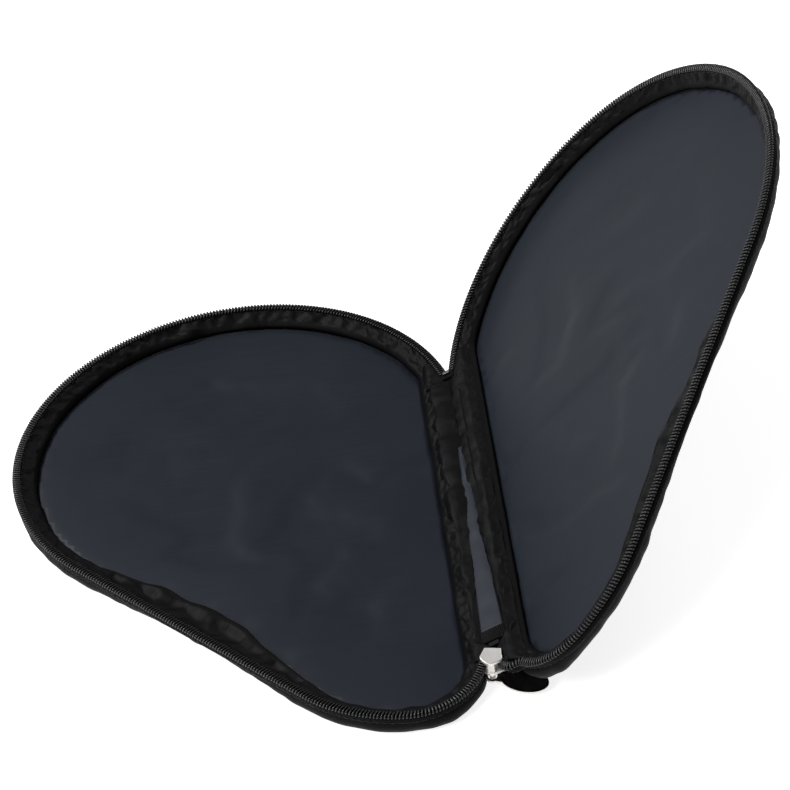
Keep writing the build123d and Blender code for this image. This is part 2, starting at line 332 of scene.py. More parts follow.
def puller_painted_shade(flat):
    """Silver frame with painted shade: dark flat faces, bright metal on the rim facing sideways.
    """
    metal = Shader("puller_painted_shade_metal", (0.05, 0.047, 0.044), 0.25, Metallic=1.0)
    facing = metal.node("ShaderNodeVectorMath", operation="DOT_PRODUCT")
    metal.link(metal.node("ShaderNodeTexCoord").outputs["Normal"], facing.inputs[0])
    facing.inputs[1].default_value = flat
    # the rim is every face that points sideways; the flat faces get the dark painted shade
    rim = metal.math("LESS_THAN", metal.math("ABSOLUTE", facing.outputs["Value"]), 0.8)
    color = metal.node("ShaderNodeMix", data_type="RGBA")
    color.inputs[6].default_value = (*metal.color, 1)
    color.inputs[7].default_value = (0.74, 0.72, 0.69, 1)
    metal.link(rim, color.inputs[0])
    metal.link(color.outputs[2], metal.surface.inputs["Base Color"])
    metal.link(metal.math("MULTIPLY_ADD", rim, -0.5, 1.0), metal.surface.inputs["Metallic"])
    metal.scuffs(0.16, 0.38)
    return metal.material


def ribbed_webbing():
    """Grosgrain tab: ribs along the spine, one to each 0.9 mm of its width."""
    cloth = Shader("webbing", (0.0022, 0.0022, 0.0028), 0.6, Specular_IOR_Level=0.15)
    split = cloth.node("ShaderNodeSeparateXYZ")
    cloth.link(cloth.object_map(), split.inputs[0])
    ribs = cloth.wave(split.outputs[1], 0.9 * MM)
    picks = cloth.wave(split.outputs[0], 0.5 * MM)
    lint = cloth.noise(900, 4.0)
    cloth.tint(cloth.math("MULTIPLY_ADD", ribs, 0.3, lint), 0.5, 2.2)
    cloth.rough(lint, 0.5, 0.7)
    cloth.bump((ribs, 0.00025), (picks, 0.00006))
    return cloth.material


def black_enamel():
    """Glossy black fill of the puller, slightly swirled by polishing."""
    enamel = Shader("enamel", (0.006, 0.0058, 0.006), 0.1, Coat_Weight=0.6,
                    Coat_Roughness=0.05)
    swirl = enamel.noise(260, 4.0)
    enamel.tint(swirl, 0.7, 1.5)
    enamel.rough(swirl, 0.07, 0.2)
    enamel.bump((swirl, 0.00001))
    return enamel.material


nylon = woven_nylon()
lining_cloth = brushed_lining("lining", (0.0112, 0.0146, 0.0218))
strip_cloth = brushed_lining("strip", (0.018, 0.0225, 0.031))
satin = gathered_satin()
tape_cloth = ribbed_tape("tape", (0.002, 0.002, 0.0026))
binding_cloth = ribbed_tape("binding", (0.0042, 0.0042, 0.0052))
coil_black = coil_nylon()
thread = sewing_thread()
slider_metal = plated_metal("slider_metal", (0.80, 0.78, 0.75), 0.26, 0.46, metallic=0.5)
stop_metal = plated_metal("stop_metal", (0.10, 0.10, 0.105), 0.3, 0.5)
black_lacquer = plated_metal("black_lacquer", (0.01, 0.01, 0.011), 0.45, 0.65)
enamel = black_enamel()
webbing = ribbed_webbing()

# -------- outlines


def arc_points(centre, radius, start, end, count):
    """count points from start, leaving out the end point, by polar angle in degrees."""
    angle = np.radians(start + (end - start) * np.arange(count) / count)
    return np.column_stack((centre[0] + radius * np.cos(angle),
                            centre[1] + radius * np.sin(angle)))


def line_points(first, last, count):
    t = np.arange(count)[:, None] / count
    return first + (last - first) * t


def on_circle(centre, radius, angle):
    return np.array((centre[0] + radius * cos(radians(angle)),
                     centre[1] + radius * sin(radians(angle))))


blade_count = int(BLADE_R * radians(250 + FLANK) / STEP)
flank_count = int(np.linalg.norm(
    on_circle((0, 0), BLADE_R, FLANK) - on_circle(heel_centre, HEEL_R, FLANK)) / STEP)
heel_count = int(HEEL_R * radians(HEEL_JOIN - FLANK) / STEP)
corner_count = int(CORNER_R * radians(80 - HEEL_JOIN) / STEP)
side_count = int((corner_centre.x + 40) / STEP)
COLUMNS = blade_count + flank_count + heel_count + corner_count + side_count


def flank_points(inset, waist, count):
    """The flank, bowed inwards by waist at its middle."""
    first = on_circle((0, 0), BLADE_R - inset, FLANK)
    last = on_circle(heel_centre, HEEL_R - inset, FLANK)
    t = np.arange(count)[:, None] / count
    return first + (last - first) * t - flank_out * waist * 16 * t**2 * (1 - t) ** 2


def smoothed(values, passes):
    """Closed row of values or points, each pass averaged with its neighbours."""
    for _ in range(passes):
        values = (np.roll(values, 1, 0) + 2 * values + np.roll(values, -1, 0)) / 4
    return values


def loop(inset, waist, side, end):
    """Closed outline: blade, flank, heel, corner, then the straight side next to the spine."""
    start = 180 - degrees(asin((SPINE_Y - side) / (BLADE_R - inset)))
    first = on_circle((0, 0), BLADE_R - inset, start)
    last = on_circle(corner_centre, CORNER_R - inset, end)
    points = np.vstack((
        arc_points((0, 0), BLADE_R - inset, start, 360 + FLANK, blade_count),
        flank_points(inset, waist, flank_count),
        arc_points(heel_centre, HEEL_R - inset, FLANK, HEEL_JOIN, heel_count),
        arc_points(corner_centre, CORNER_R - inset, HEEL_JOIN, end, corner_count),
        line_points(last, first, side_count),
    ))
    return smoothed(points, ROUNDING)


def zip_path(end):
    """Open 3-D path of the zip, on the rim line at the coil's height."""
    blade = int(BLADE_R * radians(360 + FLANK - ZIP_START))
    heel = int(HEEL_R * radians(HEEL_JOIN - FLANK))
    corner = int(CORNER_R * radians(end - HEEL_JOIN))
    flat = np.vstack((
        arc_points((0, 0), BLADE_R, ZIP_START, 360 + FLANK, blade),
        flank_points(0, 0, flank_count * 2),
        arc_points(heel_centre, HEEL_R, FLANK, HEEL_JOIN, heel),
        arc_points(corner_centre, CORNER_R, HEEL_JOIN, end, corner),
        on_circle(corner_centre, CORNER_R, end)[None, :],
    ))
    return np.column_stack((flat, np.full(len(flat), COIL_Z)))


def resample(path, step):
    """Points at equal steps along a path, with the distance of each."""
    lengths = np.linalg.norm(np.diff(path, axis=0), axis=1)
    distance = np.concatenate(((0,), np.cumsum(lengths)))
    at = np.linspace(0, distance[-1], int(distance[-1] / step) + 1)
    return np.column_stack([np.interp(at, distance, path[:, k]) for k in range(path.shape[1])]), at


def between(rows, count):
    """Smooth surface through a few rows of points, resampled to count rows."""
    rows = np.asarray(rows)
    padded = np.concatenate((2 * rows[:1] - rows[1:2], rows, 2 * rows[-1:] - rows[-2:-1]))
    result = []
    for value in np.linspace(0, len(rows) - 1, count):
        k = min(int(value), len(rows) - 2)
        t = value - k
        a, b, c, d = padded[k:k + 4]
        result.append(0.5 * (2 * b + (c - a) * t + (2 * a - 5 * b + 4 * c - d) * t**2
                             + (3 * b - a - 3 * c + d) * t**3))
    return np.array(result)


def ring_rows(controls, count):
    """Rows of a closed hoop. Each control is (inset, waist, side, end, height)."""
    rows = []
    for inset, waist, side, end, height in controls:
        outline = loop(inset, waist, side, end)
        rows.append(np.column_stack((outline, np.full(len(outline), height))))
    return between(rows, count)


def frames_of(path):
    """Unit tangent, outward and upward directions along a zip path."""
    tangent = np.gradient(path, axis=0)
    tangent /= np.linalg.norm(tangent, axis=1)[:, None]
    outward = np.cross(tangent, (0.0, 0.0, 1.0))
    outward /= np.linalg.norm(outward, axis=1)[:, None]
    return tangent, outward, np.cross(outward, tangent)


def strip_rows(path, controls, count, step=STEP):
    """Rows of an open strip along a zip path. Each control is (inset, height)."""
    guide, _ = resample(path, step)
    _, outward, upward = frames_of(guide)
    rows = [guide - outward * inset + upward * (height - COIL_Z) for inset, height in controls]
    return between(rows, count)


def ripple(count, wavelength, seed):
    """Smooth random wave of about unit size along count columns."""
    source = np.random.default_rng(seed).normal(size=count)
    frequency = np.fft.rfftfreq(count, d=STEP)
    band = np.exp(-((frequency * wavelength - 1) ** 2) / 0.18)
    wave = np.fft.irfft(np.fft.rfft(source) * band, count)
    return wave / (np.abs(wave).max() + 1e-9)


# -------- meshes


def grid_normals(grid, closed=True):
    """Unit normals of a grid of points, rows by columns."""
    along = (np.roll(grid, -1, 1) - np.roll(grid, 1, 1)) if closed else np.gradient(grid, axis=1)
    over = np.gradient(grid, axis=0)
    normal = np.cross(along, over)
    return normal / (np.linalg.norm(normal, axis=2)[:, :, None] + 1e-9)


def new_piece(name, points, faces, material, uv=None):
    """Mesh object from points in millimetres. uv holds one pair per face corner."""
    mesh = bpy.data.meshes.new(name)
    mesh.from_pydata([tuple(p) for p in np.asarray(points) * MM], [], faces)
    layer = mesh.uv_layers.new(name="cloth")
    if uv is not None:
        layer.data.foreach_set("uv", np.asarray(uv, dtype=np.float32).ravel())
    mesh.polygons.foreach_set("use_smooth", [True] * len(mesh.polygons))
    mesh.materials.append(material)
    mesh.validate()
    mesh.update()
    piece = bpy.data.objects.new(name, mesh)
    bpy.context.scene.collection.objects.link(piece)
    return piece


def grid_piece(name, grid, material, closed=True):
    """Sheet from a grid of points, rows by columns. closed joins the last column to the first."""
    rows, columns = grid.shape[:2]
    middle = grid[rows // 2]
    steps = np.linalg.norm(np.roll(middle, -1, 0) - middle, axis=1)
    u = np.concatenate(((0,), np.cumsum(steps)))
    widths = np.linalg.norm(np.diff(grid, axis=0), axis=2).mean(axis=1)
    v = np.concatenate(((0,), np.cumsum(widths)))
    faces = []
    uv = []
    for r in range(rows - 1):
        for c in range(columns if closed else columns - 1):
            n = (c + 1) % columns
            faces.append((r * columns + c, r * columns + n,
                          (r + 1) * columns + n, (r + 1) * columns + c))
            uv += [(u[c], v[r]), (u[c + 1], v[r]), (u[c + 1], v[r + 1]), (u[c], v[r + 1])]
    return new_piece(name, grid.reshape(-1, 3), faces, material, uv)


def filled_piece(name, outline, height, material, spacing=3.2):
    """Flat sheet that fills an outline with even triangles."""
    low, high = outline.min(axis=0), outline.max(axis=0)
    edges = [(k, (k + 1) % len(outline)) for k in range(len(outline))]
    points = [Vector(p) for p in outline]
    following = np.roll(outline, -1, 0)
    along = following - outline
    row = 0
    y = low[1] + spacing
    while y < high[1]:
        x = low[0] + (spacing / 2 if row % 2 else 0)
        while x < high[0]:
            crossing = (outline[:, 1] > y) != (following[:, 1] > y)
            reach = outline[:, 0] + (y - outline[:, 1]) * along[:, 0] / (along[:, 1] + 1e-12)
            inside = np.count_nonzero(crossing & (x < reach)) % 2
            if inside and np.min(np.hypot(outline[:, 0] - x, outline[:, 1] - y)) > 0.6 * spacing:
                points.append(Vector((x, y)))
            x += spacing
        y += spacing * 0.866
        row += 1
    verts, _, faces, _, _, _ = geometry.delaunay_2d_cdt(points, edges, [], 1, 1e-4)
    flat = np.array([(p.x, p.y, height) for p in verts])
    uv = [(flat[k][0], flat[k][1]) for face in faces for k in face]
    piece = new_piece(name, flat, [tuple(face) for face in faces], material, uv)
    return piece, len(outline)


def points_of(piece):
    count = len(piece.data.vertices)
    flat = np.empty(count * 3, dtype=np.float32)
    piece.data.vertices.foreach_get("co", flat)
    return flat.reshape(-1, 3).astype(float) / MM


def set_points(piece, points):
    piece.data.vertices.foreach_set("co", (points * MM).astype(np.float32).ravel())
    piece.data.update()


def bake(piece):
    """Turn the piece's modifiers into its mesh."""
    graph = bpy.context.evaluated_depsgraph_get()
    mesh = bpy.data.meshes.new_from_object(piece.evaluated_get(graph))
    old = piece.data
    piece.modifiers.clear()
    piece.data = mesh
    mesh.name = piece.name
    bpy.data.meshes.remove(old)


def thicken(piece, thickness, offset=0.0, levels=0):
    """Give a sheet real thickness, so that it is a closed solid."""
    if levels:
        piece.modifiers.new("smooth", "SUBSURF").levels = levels
    solid = piece.modifiers.new("thickness", "SOLIDIFY")
    solid.thickness = thickness * MM
    solid.offset = offset
    bake(piece)


def crumple(piece, pinned, swell, seed, frames, cap, bending, stiffness=8.0):
    """Let a pinned sheet of cloth buckle: it is given swell more length than it has room for."""
    start = points_of(piece)
    jitter = np.random.default_rng(seed).normal(scale=0.08, size=start.shape)
    jitter[list(pinned)] = 0
    set_points(piece, (start + jitter) * SIM_SCALE)
    group = piece.vertex_groups.new(name="pin")
    group.add([int(k) for k in pinned], 1.0, "REPLACE")
    cloth = piece.modifiers.new("cloth", "CLOTH")
    settings = cloth.settings
    settings.quality = 6
    settings.mass = 0.2
    settings.tension_stiffness = stiffness
    settings.compression_stiffness = stiffness
    settings.shear_stiffness = stiffness / 2
    settings.bending_stiffness = bending
    settings.vertex_group_mass = "pin"
    settings.shrink_min = -swell
    settings.effector_weights.gravity = 0
    cloth.collision_settings.use_collision = False
    cloth.point_cache.frame_start = 1
    cloth.point_cache.frame_end = frames
    for number in range(1, frames + 1):
        bpy.context.scene.frame_set(number)
    graph = bpy.context.evaluated_depsgraph_get()
    result = piece.evaluated_get(graph).to_mesh()
    flat = np.empty(len(start) * 3, dtype=np.float32)
    result.vertices.foreach_get("co", flat)
    piece.modifiers.clear()
    piece.vertex_groups.clear()
    moved = flat.reshape(-1, 3).astype(float) / MM / SIM_SCALE - start
    length = np.linalg.norm(moved, axis=1)[:, None]
    limited = moved * (cap * np.tanh(length / cap) / (length + 1e-9))
    set_points(piece, start + limited)
    bpy.context.scene.frame_set(1)


lid_place = (
    Matrix.Translation(fold * MM)
    @ Matrix.Rotation(-OPEN, 4, "X")
    @ Matrix.Diagonal((1, 1, -1, 1))
    @ Matrix.Translation(-fold * MM)
)


def settle(piece, shell):
    """Put a finished piece of a shell in place and let it ride on its body."""
    if shell == "lid":
        piece.data.transform(lid_place)
        piece.data.flip_normals()
    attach(piece, shell)


def lay_stitches(name, guide, normal, radius=0.2):
    """A row of stitches along a guide line, each a rounded bead of thread on the cloth."""
    points, at = resample(guide, 0.2)
    normals = np.column_stack([np.interp(at, np.linspace(0, at[-1], len(normal)), normal[:, k])
                               for k in range(3)])
    verts, faces, uv = [], [], []
    stations = 5
    sides = 6
    begin = 0.5
    while begin + STITCH < at[-1]:
        base = len(verts)
        for station in range(stations):
            where = begin + STITCH * station / (stations - 1)
            k = min(int(where / at[-1] * (len(points) - 1)), len(points) - 2)
            centre = points[k]
            ahead = points[k + 1] - points[k]
            ahead = ahead / (np.linalg.norm(ahead) + 1e-9)
            up = normals[k] / (np.linalg.norm(normals[k]) + 1e-9)
            wide = np.cross(ahead, up)
            swell = sin(pi * (0.12 + 0.76 * station / (stations - 1)))
            for side in range(sides):
                turn = 2 * pi * side / sides
                verts.append(centre + wide * cos(turn) * radius * swell
                             + up * ((sin(turn) * 0.8 + 0.35) * swell - 0.25) * radius)
        for station in range(stations - 1):
            for side in range(sides):
                n = (side + 1) % sides
                a = base + station * sides
                faces.append((a + side, a + n, a + sides + n, a + sides + side))
                uv += [(station, side * 0.2), (station, side * 0.2 + 0.2),
                       (station + 1, side * 0.2 + 0.2), (station + 1, side * 0.2)]
        for a, order in ((base, -1), (base + (stations - 1) * sides, 1)):
            faces.append(tuple(range(a, a + sides))[::order])
            uv += [(0, 0)] * sides
        begin += STITCH + STITCH_GAP
    return new_piece(name, verts, faces, thread, uv)


# -------- one shell


def leaf(middle, length):
    """How much the satin band widens in each column. middle and length are shares of the
    flank, counted from its blade end."""
    span = int(flank_count * length)
    t = np.arange(span) / span
    amount = np.zeros(COLUMNS)
    begin = blade_count + int(flank_count * middle) - span // 2
    amount[begin:begin + span] = (4 * t * (1 - t)) ** 1.5
    return smoothed(amount, ROUNDING * 4)


def smoothstep(value, low, high):
    t = np.clip((value - low) / (high - low), 0, 1)
    return t * t * (3 - 2 * t)


def edge_distance(points, outline):
    return np.array([np.min(np.hypot(outline[:, 0] - p[0], outline[:, 1] - p[1]))
                     for p in points])


def leaned(outline, shell, height):
    """Outline moved inwards along the flank and heel, fully at the panel and not at the tape."""
    share = np.zeros(COLUMNS)
    share[blade_count - flank_count // 2:blade_count + flank_count + heel_count + 8] = 1
    share = smoothed(share, ROUNDING * 30)
    along = np.roll(outline, -1, 0) - np.roll(outline, 1, 0)
    outward = np.column_stack((along[:, 1], -along[:, 0]))
    outward /= np.linalg.norm(outward, axis=1)[:, None]
    depth = np.clip((WALL_Z - height) / (WALL_Z - PANEL_Z), 0, 1)
    return outline - outward * (share * depth * LEAN[shell])[:, None]


def make_panel(shell, seed):
    """Padded outer panel: a sheet that swells between its seams."""
    outline = leaned(loop(3.3, 5.0, 7.4, 80), shell, PANEL_Z)
    piece, edge = filled_piece(f"{shell}_panel_cloth", outline, 0.95, nylon)
    points = points_of(piece)
    from_seam = edge_distance(points, outline)
    points[:, 2] -= PANEL_LIFT[shell] * (1 - np.exp(-((from_seam / PANEL_FADE) ** 1.3)))
    set_points(piece, points)
    if shell == "lid":
        crumple(piece, range(edge), 0.012, seed, frames=12, cap=0.8, bending=2.0)
    thicken(piece, 0.9)
    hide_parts(f"{shell}_outer_panel")
    settle(piece, shell)


def corner_bulge(grid):
    """How far each point's column is round the handle-end corner, from 0 to 1."""
    angle = np.degrees(np.arctan2(grid[:, :, 1] - corner_centre.y,
                                  grid[:, :, 0] - corner_centre.x))
    near = grid[:, :, 0] > corner_centre.x - 8
    return smoothstep(angle, -5, 30) * (1 - smoothstep(angle, 55, 95)) * near


def make_wall(shell, seed):
    """Nylon gusset: swells outwards between the panel seam and the zip tape."""
    grid = ring_rows((
        (3.8, 5.0, 7.8, 80, 0.9), (2.4, 4.6, 6.9, 79, 1.3), (0.9, 3.6, 6.2, 76, 3.0),
        (-0.2, 2.4, 5.6, 73, 5.2), (0.0, 1.4, 5.6, 71, 7.2), (0.7, 1.0, 6.0, 70, 8.6),
    ), 11)
    for row in grid:
        row[:, :2] = leaned(row[:, :2], shell, row[0, 2])
    normal = grid_normals(grid)
    fat = corner_bulge(grid) * (2.6 if shell == "lid" else 0.9)
    pucker = ripple(COLUMNS, 11.0, seed) * 0.35 + ripple(COLUMNS, 27.0, seed + 1) * 0.4
    profile = np.sin(np.linspace(0, pi, len(grid)))[:, None]
    grid = grid + normal * (profile * (pucker[None, :] + fat))[:, :, None]
    grid[:, :, 2] = np.maximum(grid[:, :, 2], 0.5)
    piece = grid_piece(f"{shell}_wall_cloth", grid, nylon)
    thicken(piece, 0.8, levels=1)
    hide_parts(f"{shell}_wall")
    settle(piece, shell)


def make_lining(shell, seed):
    """Slate lining, drawn over the pad and slightly loose."""
    outline = loop(8.0 if shell == "base" else 6.4, 6.5, 12.0, 85)
    piece, edge = filled_piece(f"{shell}_lining_cloth", outline, LINING_Z - 0.2, lining_cloth)
    points = points_of(piece)
    points[:, 2] += 0.7 * (1 - np.exp(-((edge_distance(points, outline) / 12.0) ** 1.5)))
    set_points(piece, points)
    crumple(piece, range(edge), 0.008, seed, frames=14, cap=0.55 if shell == "base" else 0.36,
            bending=5.0)
    thicken(piece, 0.5, offset=-1.0)
    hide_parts(f"{shell}_lining", f"{shell}_foam_pad")
    settle(piece, shell)


def make_band(shell, seed):
    """Satin band inside the wall: it rolls over the lining's edge and its fullness buckles."""
    slim = LID_SLIM if shell == "lid" else 0.0
    narrow = ring_rows((
        (8.4 - slim, 6.4, 12.4, 85, 5.3), (8.9 - slim, 6.4, 12.8, 86, 6.6),
        (7.4 - slim, 5.6, 11.4, 85, 8.6), (5.6 - slim / 2, 4.2, 9.8, 83, 9.6),
        (3.9, 2.0, 8.6, 79, 10.8), (2.3, 0.6, 7.6, 75, 11.3),
    ), BAND_ROWS)
    more = 2.4 if shell == "lid" else 0.0
    wide = ring_rows((
        (9.4, 7.4 + more, 12.8, 85, 5.2), (10.9, 7.8 + more, 13.6, 86, 7.4),
        (9.4, 6.6 + more, 12.2, 85, 9.7), (6.2, 4.0 + more / 2, 9.8, 83, 8.3),
        (4.0, 1.6, 8.6, 79, 9.8), (2.3, 0.6, 7.6, 75, 11.3),
    ), BAND_ROWS)
    lumps = ripple(COLUMNS, 60.0, seed) * 0.4 + ripple(COLUMNS, 28.0, seed + 1) * 0.22
    if shell == "lid":
        share = leaf(0.98, 1.2) + lumps * 0.35
    else:
        share = leaf(0.45, 1.4) + lumps
    share = np.clip(share, 0, 1.15)[None, :, None]
    grid = narrow * (1 - share) + wide * share
    normal = grid_normals(grid)
    gather = ripple(COLUMNS, 15.0, seed + 2) * 0.3 + ripple(COLUMNS, 34.0, seed + 3) * 0.5
    profile = np.sin(np.linspace(0, pi, len(grid)))[:, None, None]
    grid = grid + normal * profile * gather[None, :, None]
    piece = grid_piece(f"{shell}_satin_band", grid, satin)
    last = (len(grid) - 1) * COLUMNS
    sewn = BINDING_ROWS * COLUMNS
    crumple(piece, [*range(sewn), *range(last, last + COLUMNS)], 0.1, seed, frames=20, cap=1.25,
            stiffness=10, bending=0.8)
    thicken(piece, 0.35, levels=1)
    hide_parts(f"{shell}_wall_band")
    settle(piece, shell)
    make_binding(shell, grid)


def make_binding(shell, band):
    """Woven binding over the seam of band and lining, with both edges turned under."""
    cover = band[:BINDING_ROWS] + grid_normals(band)[:BINDING_ROWS] * BINDING_LIFT
    cover[-1] = band[BINDING_ROWS - 1]
    grid = between(cover, 11)
    piece = grid_piece(f"{shell}_binding_tape", grid, binding_cloth)
    thicken(piece, 0.3, levels=1)
    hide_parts(f"{shell}_seam_binding")
    settle(piece, shell)


def shell_frame(shell, across_mm, up_mm):
    """Point on the spine strip's cross-section, in a shell's own drawing frame."""
    sign = -1 if shell == "base" else 1
    point = fold + across * (sign * across_mm) + spine_up * up_mm
    if shell == "lid":
        point = (lid_place.inverted() @ (point * MM)) / MM
    return np.array(point)


def hinge_grid(shell, controls, start, end, count, taper=False):
    """Cloth from a shell to the spine strip. Each control is (y inset, z) in the shell, or
    (share, lift) on the strip, where share 1 is the grey strip's edge. Past the corner's
    centre the shell side follows the rim, and the strip side gathers behind the slider."""
    stations = np.linspace(start, end, int((end - start) / STEP))
    gathered = np.minimum(stations, GATHER_X + 0.2 * (stations - GATHER_X))
    round_rim = np.maximum(stations - corner_centre.x, 0)
    drop = CORNER_R - np.sqrt(CORNER_R**2 - round_rim**2)
    half = np.full(len(stations), STRIP_HALF)
    if taper:
        half *= np.clip((stations - STRIP_POINT) / STRIP_LENGTH, 0.03, 1)
        half *= 1 - 0.75 * smoothstep(stations, TAB_END - 1, TAB_END + 3)
    rows = []
    for kind, first, second in controls:
        if kind == "shell":
            row = [(x, SPINE_Y - first - low, second) for x, low in zip(stations, drop)]
        else:
            flat = 1 - half / STRIP_HALF
            row = [(x, *shell_frame(shell, reach * first, second + (VALLEY - second) * sink)[1:])
                   for x, reach, sink in zip(gathered, half, flat)]
        rows.append(row)
    return between(rows, count)


def on_strip(distance):
    """Point at a distance across the spine strip from the fold line, in metres."""
    return (fold + across * distance) * MM


def cut_across(piece, name, distance, outer):
    """Closed part of a piece beyond (outer) or short of a distance across the spine strip."""
    mesh = bmesh.new()
    mesh.from_mesh(piece.data)
    cut = bmesh.ops.bisect_plane(
        mesh, geom=mesh.verts[:] + mesh.edges[:] + mesh.faces[:],
        plane_co=on_strip(distance), plane_no=across,
        clear_outer=not outer, clear_inner=outer,
    )
    edges = [item for item in cut["geom_cut"] if isinstance(item, bmesh.types.BMEdge)]
    bmesh.ops.holes_fill(mesh, edges=edges, sides=0)
    part = piece.copy()
    part.name = name
    part.data = piece.data.copy()
    part.data.name = name
    mesh.to_mesh(part.data)
    mesh.free()
    bpy.context.scene.collection.objects.link(part)
    return part


def ride_hinge(piece, shell, slot, *nodes):
    """Place hinge cloth. The lid's is swung open and cut; its part over the strip rides on the
    spine.
    """
    if shell == "base":
        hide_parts(*nodes)
        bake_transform(piece)
        return
    piece.data.transform(lid_place)
    piece.data.flip_normals()
    over_strip = cut_across(piece, f"{piece.name}_strip", STRIP_ACROSS, outer=False)
    beside = cut_across(piece, f"{piece.name}_side", STRIP_ACROSS, outer=True)
    bpy.data.objects.remove(piece)
    for part in (over_strip, beside):
        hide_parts(*nodes)
    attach(over_strip, "spine")
    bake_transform(beside)


def make_hinge(shell, seed):
    """Satin roll inside and nylon outside, from the shell's edge to the spine strip."""
    hinge_end = TAB_END + (9 if shell == "base" else 21)
    grid = hinge_grid(shell, (
        ("shell", 11.0, 8.4), ("shell", 9.2, 10.6), ("shell", 7.4, 12.0),
        ("strip", 1.25, 1.7), ("strip", 1.0, 0.5), ("strip", 0.96, 0.05),
    ), SPINE_START + 1, hinge_end, 12, taper=True)
    columns = grid.shape[1]
    normal = grid_normals(grid, closed=False)
    gather = ripple(columns, 21.0, seed) * 0.2 + ripple(columns, 50.0, seed + 1) * 0.4
    profile = np.sin(np.linspace(0, pi, len(grid)) * 0.93)[:, None, None]
    grid = grid + normal * profile * gather[None, :, None]
    piece = grid_piece(f"{shell}_hinge_satin", grid, satin, closed=False)
    index = np.arange(len(grid) * columns).reshape(len(grid), columns)
    pinned = {*index[0], *index[-1], *index[:, 0], *index[:, -1]}
    crumple(piece, pinned, 0.04, seed, frames=18, cap=0.6, stiffness=10, bending=3.0)
    thicken(piece, 0.35, levels=1)
    ride_hinge(piece, shell, "satin", f"{shell}_wall_band")
    grid = hinge_grid(shell, (
        ("shell", 5.9, 7.4), ("shell", 5.4, 8.8), ("strip", 0.98, -1.9), ("strip", 0.7, -1.6),
    ), SPINE_START + 1, hinge_end - 1, 8)
    piece = grid_piece(f"{shell}_hinge_nylon", grid, nylon, closed=False)
    thicken(piece, 0.5, levels=1)
    ride_hinge(piece, shell, "outer_nylon", f"{shell}_wall")


def make_blade_corner(shell, seed):
    """Rigid cloth in the corner where the blade's rim meets the spine, inside and outside."""
    x = np.linspace(SPINE_START - 15, SPINE_START + 2.5, 12)
    arc = np.sqrt(BLADE_R**2 - np.minimum(x, SPINE_START) ** 2)
    for kind, material, slot, profile in (
        ("satin", satin, "satin", ((11.0, 8.6), (9.4, 10.4), (6.9, 11.4), (1.3, 11.7))),
        ("nylon", nylon, "outer_nylon", ((5.8, 7.0), (5.3, 8.6), (3.2, 9.4), (0.4, 10.6))),
    ):
        rows = []
        for k, (first, height) in enumerate(profile):
            t = (k / (len(profile) - 1)) ** 2
            y = (SPINE_Y - first) * (1 - t) + (arc - first) * t
            rows.append(np.column_stack((x, y, np.full(len(x), height))))
        grid = between(rows, 9)
        wave = ripple(len(x), 9.0, seed) * 0.3
        grid[:, :, 2] += np.sin(np.linspace(0, pi, 9))[:, None] * wave[None, :]
        piece = grid_piece(f"{shell}_corner_{kind}", grid, material, closed=False)
        thicken(piece, 0.4, levels=1)
        settle(piece, shell)


def shell_path(shell):
    """The zip's path. The lid's half leaves its rim and runs down into the slider."""
    if shell == "base":
        return zip_path(84)
    rim = zip_path(52)
    inside = lid_place.inverted()
    throat = [np.array((inside @ (Vector(point) * MM)) / MM) for point in SLIDER_FEED]
    return np.vstack((rim[:-1], between(np.array([rim[-12], rim[-1], *throat]), 40)[10:]))


def make_tape(shell):
    """Woven tape from the wall up to the coil, turned in under it."""
    grid = strip_rows(shell_path(shell),
                      ((0.3, 7.6), (-0.1, 8.8), (0.2, 10.0), (1.0, 10.7), (2.8, 10.8),
                       (4.8, 8.6)), 11)
    piece = grid_piece(f"{shell}_tape_cloth", grid, tape_cloth, closed=False)
    thicken(piece, 0.45, levels=1)
    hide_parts(f"{shell}_zip_tape")
    settle(piece, shell)


def make_coil(shell):
    """One side of the zip's coil: a flattened helix of nylon wire."""
    guide, at = resample(shell_path(shell), COIL_PITCH / 12)
    tangent, outward, upward = frames_of(guide)
    phase = 2 * pi * at / COIL_PITCH
    reach = np.sign(np.cos(phase)) * np.abs(np.cos(phase)) ** 0.7
    reach = reach * (COIL_HALF_WIDTH - WIRE_R) + COIL_MIDDLE
    lift = np.sign(np.sin(phase)) * np.abs(np.sin(phase)) ** 0.8 * (COIL_HALF_HEIGHT - WIRE_R)
    centre = guide + outward * reach[:, None] + upward * lift[:, None]
    ahead = np.gradient(centre, axis=0)
    ahead /= np.linalg.norm(ahead, axis=1)[:, None]
    first = np.cross(ahead, tangent)
    first /= np.linalg.norm(first, axis=1)[:, None]
    second = np.cross(ahead, first)
    sides = 5
    rings = np.array([centre + (first * cos(2 * pi * k / sides)
                                + second * sin(2 * pi * k / sides)) * WIRE_R
                      for k in range(sides)])
    piece = tube_piece(f"{shell}_coil_wire", rings, coil_black)
    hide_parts(f"{shell}_zip_coil")
    settle(piece, shell)


def make_cord(shell):
    """Flat cord that the coil is wound on and sewn through."""
    guide, _ = resample(shell_path(shell), STEP / 2)
    _, outward, upward = frames_of(guide)
    rings = np.array([guide + outward * (cos(turn) * 1.8 + COIL_MIDDLE)
                      + upward * (sin(turn) * 0.6 - 0.5)
                      for turn in (2 * pi * k / 8 for k in range(8))])
    piece = tube_piece(f"{shell}_coil_cord", rings, tape_cloth)
    settle(piece, shell)


def tube_piece(name, rings, material):
    """Closed tube. rings holds one line of points per side of the tube."""
    sides, count = rings.shape[:2]
    faces = []
    for c in range(count - 1):
        for s in range(sides):
            n = (s + 1) % sides
            faces.append((s * count + c, s * count + c + 1, n * count + c + 1, n * count + c))
    faces.append(tuple(s * count for s in range(sides)))
    faces.append(tuple(s * count + count - 1 for s in reversed(range(sides))))
    return new_piece(name, rings.reshape(-1, 3), faces, material)


